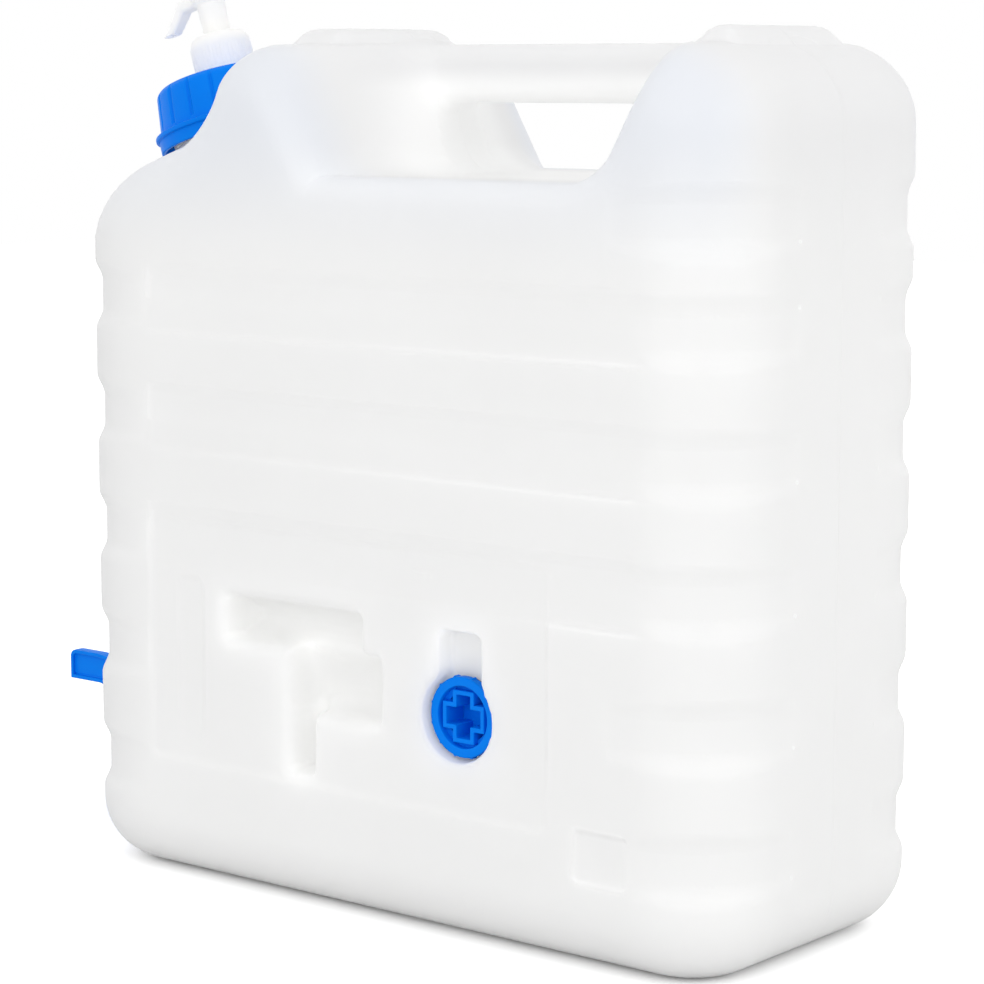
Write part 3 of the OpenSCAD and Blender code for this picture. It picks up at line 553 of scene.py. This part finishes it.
def lever_field(points):
    x, y, z = points[:, 0] - TAP_X, points[:, 1], points[:, 2] - LEVER_Z
    foot = PADDLE_LIFT * ease((-8 - x) / 12)
    outline = np.maximum(slab(x, z, PADDLE_TIP, 9, 0, PADDLE_HEIGHT, 3.4), foot - z)
    outline = meet(outline, (z - PADDLE_HEIGHT) * SLOPE_Z + (x + 12) * SLOPE_X, 4)
    inner = np.maximum(slab(x, z, PANEL_TIP, 6, RIM, PANEL_TOP, 2.2), foot + RIM - z)
    inner = meet(inner, (z - PANEL_TOP) * SLOPE_Z + (x + 13.5) * SLOPE_X, 3)
    rim = meet(outline, np.abs(y) - PADDLE_HALF, 0.6)
    web = np.maximum(outline, np.abs(y) - WEB_HALF)
    panel = np.maximum(inner, WEB_HALF - np.abs(y))
    hub = meet(np.hypot(x, y) - HUB_R, np.maximum(-z, z - HUB_HEIGHT), 0.7)
    paddle = np.maximum(join(cut(rim, panel, 0.5), web, 0.3), x - 2)
    solid = join(paddle, hub, 1.2)
    return np.maximum(solid, -np.maximum(np.maximum(np.abs(x), np.abs(y)) - SQUARE_HALF, z - SQUARE_TOP))


# Thread of the drain, the same on the tap's shank and on the plug's
DRAIN_PITCH, SHANK_R, THREAD_R, THREAD_GROOVE = 3.5, 12.9, 13.1, 0.8


def drain_thread(shank, r, along, angle):
    turn = to_turn(along, angle, DRAIN_PITCH)
    return np.maximum(shank, -(np.hypot(r - THREAD_R, turn) - THREAD_GROOVE))


# Tap body: shank, flange, barrel, valve chamber and spout in one moulding
TAP_RIBS, TAP_RIB_HEIGHT, TAP_FLANGE_R = 24, 0.3, 17.2
BARREL_R, BARREL_BORE, CHAMBER_R, CHAMBER_BORE = 8, 5.5, 10.5, 7.25
CHAMBER_FOOT, CHAMBER_TOP, SPOUT_R, SPOUT_BORE, SPOUT_TIP = 31, 56, 8, 5.6, 14


def tap_field(points):
    x, y, z = points[:, 0], points[:, 1], points[:, 2]
    out = -(x + HALF_L)
    along = np.hypot(y, z - DRAIN_Z)
    turned = np.arctan2(z - DRAIN_Z, y)
    upright = np.hypot(x - TAP_X, y)
    shank = meet(along - SHANK_R, np.maximum(-10 - out, out - 9), 0.8)
    shank = drain_thread(shank, along, out, turned)
    ribs = TAP_RIB_HEIGHT * np.cos(every(turned, TAP_RIBS) * TAP_RIBS)
    flange = meet(along - TAP_FLANGE_R + ribs, np.abs(out - 9.5) - 2, 0.6)
    barrel = np.maximum(along - BARREL_R, np.maximum(7 - out, out - 44))
    chamber = meet(upright - CHAMBER_R, np.maximum(CHAMBER_FOOT - z, z - CHAMBER_TOP), 0.8)
    spout = meet(upright - SPOUT_R + 0.03 * (CHAMBER_FOOT - z), np.maximum(SPOUT_TIP - z, z - 34), 0.6)
    solid = join(join(shank, flange, 0.6), barrel, 1.5)
    solid = join(join(solid, chamber, 1.5), spout, 2)
    inlet = np.maximum(along - BARREL_BORE, out - 42)
    valve = np.maximum(upright - CHAMBER_BORE, 34 - z)
    return cut(np.maximum(solid, -np.minimum(inlet, valve)), np.maximum(upright - SPOUT_BORE, z - 36), 0.5)


# Drain plug seen from its socket side: knurled rim, ring-shaped recess and a cross-shaped socket
PLUG_FACE_Y, PLUG_RIM_R, PLUG_RIM_DEPTH, PLUG_LENGTH = -78, 17.3, 4, 19
KNURLS, KNURL_R = 12, 0.75
DISH_R, DISH_DEPTH, RECESS_R, RECESS_DEPTH = 13.4, 3.4, 11.0, 7
CROSS, CROSS_WALL = (9.25, 3.75), (11.25, 5.75)


def plug_field(points):
    x, y, z = points[:, 0] - PLUG_X, points[:, 1] - PLUG_FACE_Y, points[:, 2] - PLUG_Z
    r = np.hypot(x, z)
    angle = every(np.arctan2(z, x) + math.pi / KNURLS, KNURLS)
    rim = meet(r - PLUG_RIM_R, np.maximum(-y, y - PLUG_RIM_DEPTH), 0.45)
    knurl = np.maximum(np.hypot(r - 17.2, angle * 17) - KNURL_R, np.maximum(0.3 - y, y - 3.8))
    shank = np.maximum(meet(r - SHANK_R, y - PLUG_LENGTH, 0.8), 0.5 - y)
    shank = drain_thread(shank, r, y, np.arctan2(z, x))
    body = join(np.minimum(rim, knurl), shank, 0.5)
    dish = np.minimum(np.maximum(r - DISH_R, y - DISH_DEPTH), np.maximum(r - RECESS_R, y - RECESS_DEPTH))
    body = cut(body, dish, 0.35)

    def arms(half_l, half_w):
        one = np.maximum(np.abs(x) - half_l, np.abs(z) - half_w)
        other = np.maximum(np.abs(z) - half_l, np.abs(x) - half_w)
        return np.minimum(one, other)

    socket = meet(arms(*CROSS_WALL), np.maximum(0.6 - y, y - 9), 0.4)
    return cut(np.minimum(body, socket), np.maximum(arms(*CROSS), y - 12), 0.35)


def dressed(name, field, box, step, share, body, node, slot):
    """A moulded piece that rides a body and stands in for a piece of the CAD."""
    piece = moulded(name, field, box[0], box[1], step, share)
    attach(piece, body)
    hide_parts(node)
    return piece


# Name, field, box, grid step, share of faces kept, body, replaced piece of the CAD, slot
MOULDINGS = [
    ("cap_moulding", cap_field, neck_box(40.5, -9, 24), 0.8, 0.6, "cap", "screw_cap", "blue_plastic"),
    ("lever_moulding", lever_field, ((-272, -10, 56), (-220, 10, 79)), 0.5, 0.7,
     "tap_valve", "tap_lever", "blue_plastic"),
    ("tap_moulding", tap_field, ((-243, -19, 12), (-173, 19, 66)), 0.6, 0.6,
     "tap", "tap_body", "blue_plastic"),
    ("plug_moulding", plug_field, ((31, -80, 78), (71, -56, 118)), 0.45, 0.6,
     "stowed_plug", "drain_plug", "blue_plastic"),
    ("head_moulding", head_field, neck_box(36, 36, 69), 0.5, 0.6, "pump_head", "pump_head", "white_plastic"),
    ("collar_moulding", collar_field, neck_box(16, 21, 46), 0.5, 0.6,
     "collar", "pump_collar", "white_plastic"),
]
small_pieces = [(dressed(*row), row[-1]) for row in MOULDINGS]


# Shader nodes written as plain expressions
class Wire:
    """One output of a shader node, with arithmetic."""

    def __init__(self, nodes, socket):
        self.nodes, self.socket = nodes, socket

    def math(self, operation, *values):
        return self.nodes.node("ShaderNodeMath", {"operation": operation}, dict(enumerate(values)))

    def __add__(self, other):
        return self.math("ADD", self, other)

    __radd__ = __add__

    def __mul__(self, other):
        return self.math("MULTIPLY", self, other)

    __rmul__ = __mul__

    def __sub__(self, other):
        return self.math("SUBTRACT", self, other)

    def __rsub__(self, other):
        return self.math("SUBTRACT", other, self)

    def __abs__(self):
        return self.math("ABSOLUTE", self)

    def ease(self, start, end):
        """0 at the start, 1 at the end, smooth between."""
        sockets = {"Value": self, "From Min": start, "From Max": end}
        return self.nodes.node("ShaderNodeMapRange", {"interpolation_type": "SMOOTHSTEP"}, sockets, "Result")

    def between(self, start, full, fading, end):
        """1 from full to fading, 0 before the start and after the end."""
        return self.ease(start, full) * (1 - self.ease(fading, end))


class Nodes:
    """The nodes of a material or of the world."""

    def __init__(self, tree):
        self.tree = tree

    def connect(self, slot, value):
        if isinstance(value, Wire):
            self.tree.links.new(value.socket, slot)
        else:
            slot.default_value = value

    def node(self, kind, settings, sockets, output=0):
        """A node of any kind: its settings first, then its sockets by name or number."""
        made = self.tree.nodes.new(kind)
        for key, value in settings.items():
            setattr(made, key, value)
        for key, value in sockets.items():
            self.connect(made.inputs[key], value)
        return Wire(self, made.outputs[output])


class Finish(Nodes):
    """A material under construction."""

    def __init__(self, name):
        self.material = bpy.data.materials.new(name)
        self.material.use_nodes = True
        super().__init__(self.material.node_tree)
        self.shader = self.tree.nodes["Principled BSDF"]
        self.shader.subsurface_method = "BURLEY"

    def place(self):
        return self.node("ShaderNodeTexCoord", {}, {}, "Object")

    def along(self, axis):
        """The place along X, Y or Z, in metres."""
        return self.node("ShaderNodeSeparateXYZ", {}, {"Vector": self.place()}, axis)

    def noise(self, scale, detail=2.0):
        sockets = {"Vector": self.place(), "Scale": scale, "Detail": detail}
        return self.node("ShaderNodeTexNoise", {}, sockets, "Fac")

    def patches(self, scale):
        """Soft patches between 0 and 1."""
        return self.noise(scale, 3.0).ease(0.35, 0.7)

    def blend(self, factor, one, other):
        """From one colour to the other; a mix node has its colours in sockets 6 and 7 and in output 2."""
        return self.node("ShaderNodeMix", {"data_type": "RGBA"}, {0: factor, 6: one, 7: other}, 2)

    def set(self, **sockets):
        for key, value in sockets.items():
            self.connect(self.shader.inputs[key.replace("_", " ")], value)

    def bump(self, height):
        """Relief given in metres."""
        wire = self.node("ShaderNodeBump", {}, {"Height": height, "Distance": 1.0, "Strength": 1.0}, "Normal")
        self.connect(self.shader.inputs["Normal"], wire)


# Scales of the noise: the grain of the small pieces, the grain of the canister and its slow waves
FINE_GRAIN, COARSE_GRAIN, WAVES = 1800, 1400, 26


def milky_canister():
    """Blown natural plastic with painted light and shade: paler low down, darker and cooler at the top and
    darker at the tap's end as painted shade, paler in the tap's pocket and the hand hole's valley as painted
    light.
    """
    low, high, shaded_tap_end = (0.87, 0.87, 0.866, 1), (0.848, 0.848, 0.845, 1), (0.765, 0.765, 0.765, 1)
    shaded_top_middle, shaded_top_faces = (0.795, 0.795, 0.798, 1), (0.75, 0.77, 0.812, 1)
    painted_pocket_light, painted_valley_light = (0.88, 0.88, 0.872, 1), (0.95, 0.95, 0.945, 1)
    finish = Finish("milky_canister")
    x, y, z = finish.along("X"), finish.along("Y"), finish.along("Z")
    # Painted light: the tint is paler low down and darker higher up
    tint = finish.blend(z.ease(0.02, 0.16), low, high)
    # Painted shade: the tint is darker at the tap's end
    tint = finish.blend(x.ease(-0.185, -0.12), shaded_tap_end, tint)
    # Painted shade: the top is darker and cooler, most towards the large faces
    shaded_top = finish.blend(abs(y).ease(0.05, 0.075), shaded_top_middle, shaded_top_faces)
    tint = finish.blend(z.ease(0.28, 0.35), tint, shaded_top)
    # Painted light: the tap's pocket and the hand hole's valley are made paler
    pocket = x.between(-0.095, -0.085, 0.066, 0.076) * z.between(0.05, 0.06, 0.138, 0.148)
    pocket = pocket * y.between(-0.0815, -0.076, -0.062, -0.055)
    valley = x.between(-0.045, -0.012, 0.11, 0.13) * z.between(0.3, 0.32, 0.358, 0.37)
    valley = valley * (1 - abs(y).ease(0.025, 0.065))
    tint = finish.blend(pocket, tint, painted_pocket_light)
    tint = finish.blend(valley, tint, painted_valley_light)
    cloudy = 1 - finish.patches(9) * 0.018
    colour = finish.node("ShaderNodeVectorMath", {"operation": "SCALE"}, {"Vector": tint, "Scale": cloudy})
    grain = finish.noise(COARSE_GRAIN)
    seam = 1 - abs(y).ease(0.0002, 0.0009)
    finish.set(Base_Color=colour, Roughness=grain * 0.1 + 0.33, IOR=1.5, Subsurface_Weight=0.9,
               Subsurface_Radius=(1.0, 1.0, 1.0), Subsurface_Scale=0.02, Specular_IOR_Level=0.42)
    finish.bump(grain * 0.000012 + finish.noise(WAVES) * 0.00025 + seam * 0.00012)
    return finish.material


def lit_lining():
    """The same plastic from inside, glowing with painted light that stands in for daylight coming through the
    wall.
    """
    finish = Finish("lit_lining")
    tone_and_glow = finish.blend(finish.patches(9), (0.6, 0.6, 0.59, 1), (0.56, 0.56, 0.555, 1))
    # Painted light: the lining's own tone also glows as emission
    finish.set(Base_Color=tone_and_glow, Roughness=finish.noise(COARSE_GRAIN) * 0.1 + 0.4, Emission_Color=tone_and_glow,
               Emission_Strength=0.33)
    return finish.material


def grained(name, colour, denser, rough, relief, **more):
    """A moulded material: its colour varies a little from place to place, and it has a fine grain."""
    finish = Finish(name)
    grain = finish.noise(FINE_GRAIN)
    finish.set(Base_Color=finish.blend(finish.patches(40), colour, denser),
               Roughness=grain * 0.12 + (rough - 0.06), **more)
    finish.bump(grain * relief + finish.noise(70) * 0.00006)
    return finish.material


def blue_moulding():
    return grained("blue_moulding", (0.0, 0.212, 0.875, 1), (0.0, 0.196, 0.835, 1), 0.36, 0.00001, IOR=1.5,
                   Specular_IOR_Level=0.05)


def white_moulding():
    return grained("white_moulding", (0.94, 0.935, 0.92, 1), (0.925, 0.92, 0.905, 1), 0.34, 0.000008, IOR=1.5,
                   Subsurface_Weight=0.5, Subsurface_Radius=(1.0, 1.0, 1.0), Subsurface_Scale=0.004,
                   Specular_IOR_Level=0.4)


def black_seal():
    return grained("black_seal", (0.02, 0.02, 0.022, 1), (0.03, 0.03, 0.032, 1), 0.62, 0.00002)


def drawn_steel():
    return grained("drawn_steel", (0.6, 0.61, 0.63, 1), (0.52, 0.53, 0.55, 1), 0.3, 0.000004, Metallic=1.0)


finishes = {
    "natural_plastic": milky_canister(),
    "blue_plastic": blue_moulding(),
    "white_plastic": white_moulding(),
    "seal_rubber": black_seal(),
    "spring_steel": drawn_steel(),
}
canister_skin.data.materials.append(finishes["natural_plastic"])
neck_thread.data.materials.append(finishes["natural_plastic"])
canister_lining.data.materials.append(lit_lining())
for piece, slot in small_pieces:
    piece.data.materials.append(finishes[slot])
for part in frame["record"]["subparts"]:
    node = frame["nodes"][part["node"]]
    node.data.materials.clear()
    node.data.materials.append(finishes[part["material_slot"]])


# Camera as in the photo: level with the handle bar, turned down to the middle of the object
FOCAL_PIXELS, IMAGE_PIXELS, SENSOR = 3000, 984, 36
CAMERA_PLACE, CAMERA_YAW, CAMERA_PITCH = (0.8427, -1.0229, 0.3668), 39.374, 8.0
# Strength of the surroundings as light and where the camera sees them, and the floor's tone in the same way
AROUND_LIGHT, AROUND_SEEN = 0.97, 1.0
FLOOR_LIGHT, FLOOR_SEEN = (0.85, 0.85, 0.85, 1), (1.4, 1.4, 1.4, 1)
# Name, place, target, side length and power
LIGHTS = [
    ("overhead", (0.1, -0.5, 2.0), (0, 0, 0.1), 1.2, 0.3),
    ("front", (0.5, -1.8, 0.8), (0, 0, 0.2), 1.3, 3.5),
    ("right", (1.9, -0.5, 0.8), (0, 0, 0.2), 1.3, 4),
]


def camera():
    data = bpy.data.cameras.new("camera")
    data.lens = FOCAL_PIXELS / IMAGE_PIXELS * SENSOR
    data.sensor_width = SENSOR
    data.clip_start, data.clip_end = 0.05, 50
    piece = bpy.data.objects.new("camera", data)
    piece.location = CAMERA_PLACE
    piece.rotation_euler = (math.radians(90) - math.radians(CAMERA_PITCH), 0, math.radians(CAMERA_YAW))
    bpy.context.scene.collection.objects.link(piece)
    bpy.context.scene.camera = piece


def soft_light(name, place, target, side, power):
    data = bpy.data.lights.new(name, "AREA")
    data.shape, data.size, data.energy = "SQUARE", side, power
    piece = bpy.data.objects.new(name, data)
    piece.location = place
    piece.rotation_euler = (Vector(target) - Vector(place)).to_track_quat("-Z", "Y").to_euler()
    bpy.context.scene.collection.objects.link(piece)


def surroundings():
    world = bpy.data.worlds.new("studio")
    bpy.context.scene.world = world
    world.use_nodes = True
    around = Nodes(world.node_tree)
    seen = around.node("ShaderNodeLightPath", {}, {}, "Is Camera Ray")
    sockets = {0: seen, 2: AROUND_LIGHT, 3: AROUND_SEEN}
    back = world.node_tree.nodes["Background"]
    around.connect(back.inputs["Color"], (1, 1, 1, 1))
    around.connect(back.inputs["Strength"], around.node("ShaderNodeMix", {"data_type": "FLOAT"}, sockets))


def studio_floor():
    bpy.ops.mesh.primitive_plane_add(size=8, location=(0, 0, 0))
    floor = bpy.context.object
    floor.name = "floor"
    plain = Finish("pale_floor")
    seen = plain.node("ShaderNodeLightPath", {}, {}, "Is Camera Ray")
    plain.set(Base_Color=plain.blend(seen, FLOOR_LIGHT, FLOOR_SEEN), Roughness=0.9, Specular_IOR_Level=0.0)
    floor.data.materials.append(plain.material)


camera()
surroundings()
for light in LIGHTS:
    soft_light(*light)
studio_floor()
scene = bpy.context.scene
scene.view_settings.view_transform = "Standard"
